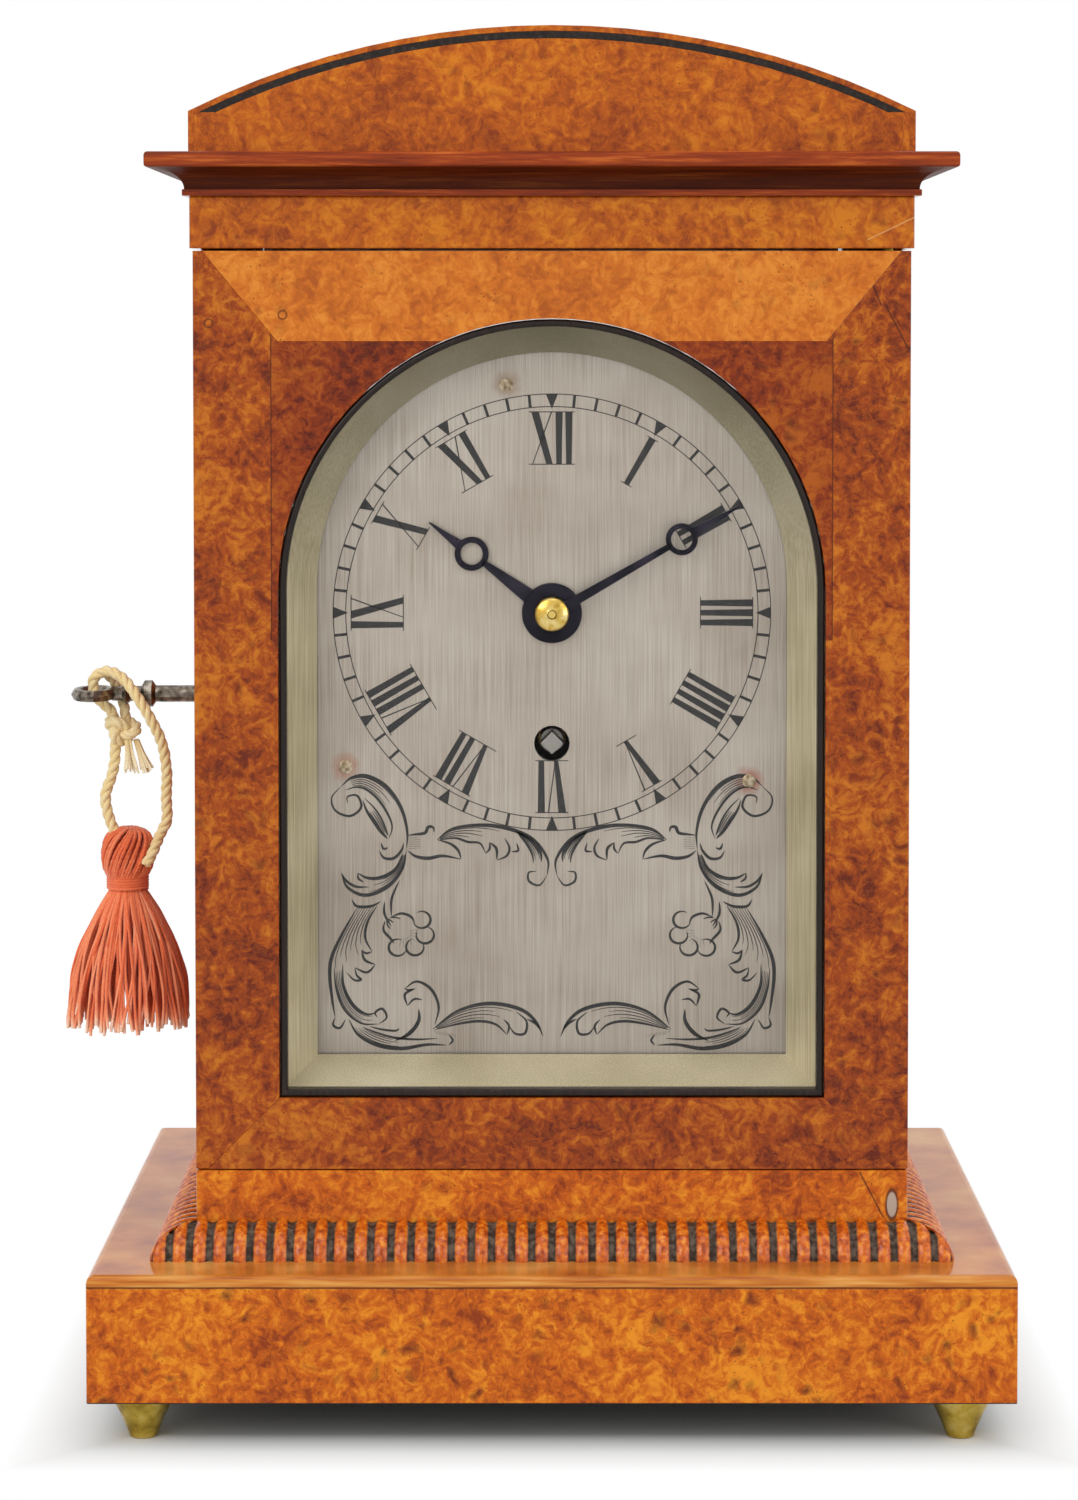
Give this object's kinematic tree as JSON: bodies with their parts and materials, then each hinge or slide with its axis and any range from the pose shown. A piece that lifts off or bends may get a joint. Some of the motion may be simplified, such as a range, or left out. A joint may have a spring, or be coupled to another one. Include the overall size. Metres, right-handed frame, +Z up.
{
  "type": "bracket clock",
  "caption": "Small burr-veneered bracket clock on brass feet with arched glazed door, silvered dial, fusee movement, pendulum, lock key and tassel.",
  "frame": {"origin": "on the surface that the clock stands on, midway between the four feet", "axes": "+Z up, -Y towards the viewer (the dial side), +X to the viewer's right"},
  "size_m": [0.1949, 0.136, 0.284],
  "materials": {
    "burr_veneer": "french polished burr veneer on oak",
    "cornice_veneer": "french polished straight-grained veneer",
    "ebonised": "ebonised",
    "oak": "waxed oak",
    "brass": "lacquered",
    "silvered_brass": "silvered, grained vertically",
    "blued_steel": "blued",
    "steel": "old bright steel",
    "glass": "clear, polished",
    "silk_cord": "twisted cord",
    "silk_tassel": "silk threads",
    "gut": "oiled gut line"
  },
  "bodies": {
    "case": {"foot_front_left": "brass", "foot_front_right": "brass", "foot_back_left": "brass", "foot_back_right": "brass", "plinth": "burr_veneer", "gadroon_front": "burr_veneer", "gadroon_right": "burr_veneer", "gadroon_back": "burr_veneer", "gadroon_left": "burr_veneer", "base_rail": "burr_veneer", "case_side_left": "burr_veneer", "case_side_right": "burr_veneer", "frieze": "burr_veneer", "cornice": "cornice_veneer", "pediment": "burr_veneer", "stringing": "ebonised", "hinge_leaf_case_bottom": "brass", "hinge_leaf_case_top": "brass", "back_pivot_bottom": "brass", "back_pivot_top": "brass", "lock_case": "steel", "front_plate": "brass", "back_plate": "brass", "seatboard": "oak", "gut_line": "gut", "back_cock": "brass", "dial": "silvered_brass"},
    "front_door": {"door_stile_left": "burr_veneer", "door_stile_right": "burr_veneer", "door_head_rail": "burr_veneer", "door_bottom_rail": "burr_veneer", "door_glass": "glass", "glass_bead": "ebonised", "dial_slip": "silvered_brass", "strike_plate": "brass", "hinge_leaf_door_bottom": "brass", "hinge_leaf_door_top": "brass"},
    "back_door": {"back_door_frame": "oak", "back_door_glass": "glass"},
    "back_knob": {"back_door_knob": "brass"},
    "key": {"key": "steel"},
    "bolt": {"lock_bolt": "brass"},
    "tassel": {"cord_left": "silk_cord", "cord_right": "silk_cord", "cord_knot": "silk_cord", "tassel": "silk_tassel"},
    "centre": {"centre_wheel": "brass", "cannon_pinion": "brass", "minute_hand": "blued_steel", "hand_collet": "brass"},
    "hour": {"hour_wheel": "brass", "hour_hand": "blued_steel"},
    "minute_work": {"minute_wheel": "brass"},
    "fusee": {"fusee": "brass"},
    "barrel": {"barrel": "brass"},
    "third": {"third_wheel": "brass"},
    "escape": {"escape_wheel": "brass"},
    "anchor": {"anchor": "steel"},
    "pendulum": {"pendulum": "brass"},
    "rating_nut": {"rating_nut": "brass"}
  },
  "joints": [
    {"name": "front_door_hinge", "type": "hinge", "parent": "case", "child": "front_door", "pos_m": [0.0684, -0.0404, 0.145], "axis": [0, 0, 1], "range_deg": [0, 110]},
    {"name": "back_door_hinge", "type": "hinge", "parent": "case", "child": "back_door", "pos_m": [0.061, 0.0444, 0.145], "axis": [0, 0, -1], "range_deg": [0, 90]},
    {"name": "back_knob_turn", "type": "hinge", "parent": "back_door", "child": "back_knob", "pos_m": [-0.059, 0.0487, 0.0583], "axis": [0, 1, 0], "range_deg": [0, 90]},
    {"name": "key_turn", "type": "hinge", "parent": "case", "child": "key", "pos_m": [-0.08, -0.024, 0.1468], "axis": [1, 0, 0], "range_deg": [0, 180], "deforming": ["cord_left", "cord_right"]},
    {"name": "bolt_slide", "type": "slide", "parent": "case", "child": "bolt", "axis": [0, -1, 0], "range_m": [0, 0.005]},
    {"name": "tassel_swing", "type": "hinge", "parent": "case", "child": "tassel", "pos_m": [-0.092, -0.024, 0.1468], "axis": [1, 0, 0], "range_deg": [-20, 20]},
    {"name": "centre_turn", "type": "hinge", "parent": "case", "child": "centre", "pos_m": [0, -0.034, 0.1644], "axis": [0, 1, 0], "continuous": true},
    {"name": "hour_turn", "type": "hinge", "parent": "case", "child": "hour", "pos_m": [0, -0.031, 0.1644], "axis": [0, 1, 0], "continuous": true},
    {"name": "minute_wheel_turn", "type": "hinge", "parent": "case", "child": "minute_work", "pos_m": [-0.013, -0.026, 0.17188], "axis": [0, 1, 0], "continuous": true},
    {"name": "fusee_turn", "type": "hinge", "parent": "case", "child": "fusee", "pos_m": [0, 0, 0.1373], "axis": [0, 1, 0], "continuous": true},
    {"name": "barrel_turn", "type": "hinge", "parent": "case", "child": "barrel", "pos_m": [-0.035, 0, 0.115], "axis": [0, 1, 0], "continuous": true},
    {"name": "third_turn", "type": "hinge", "parent": "case", "child": "third", "pos_m": [0.00705, 0, 0.18047], "axis": [0, 1, 0], "continuous": true},
    {"name": "escape_turn", "type": "hinge", "parent": "case", "child": "escape", "pos_m": [0, 0, 0.1924], "axis": [0, 1, 0], "continuous": true},
    {"name": "pendulum_swing", "type": "hinge", "parent": "case", "child": "pendulum", "pos_m": [0, 0.025, 0.20741], "axis": [0, 1, 0], "range_deg": [-4, 4]},
    {"name": "anchor_swing", "type": "hinge", "parent": "case", "child": "anchor", "pos_m": [0, 0, 0.20741], "axis": [0, 1, 0], "range_deg": [-4, 4]},
    {"name": "rating_nut_turn", "type": "hinge", "parent": "pendulum", "child": "rating_nut", "pos_m": [0, 0.025, 0.049], "axis": [0, 0, 1], "continuous": true}
  ],
  "couplings": [
    {"joint": "key_turn", "follows": "bolt_slide", "rad_per_m": 628.32},
    {"joint": "hour_turn", "follows": "centre_turn", "ratio": 0.083333},
    {"joint": "minute_wheel_turn", "follows": "centre_turn", "ratio": -0.33333},
    {"joint": "fusee_turn", "follows": "centre_turn", "ratio": -0.083333},
    {"joint": "barrel_turn", "follows": "centre_turn", "ratio": -0.083333},
    {"joint": "third_turn", "follows": "centre_turn", "ratio": -12},
    {"joint": "escape_turn", "follows": "centre_turn", "ratio": 120},
    {"joint": "anchor_swing", "follows": "pendulum_swing", "ratio": 1}
  ]
}
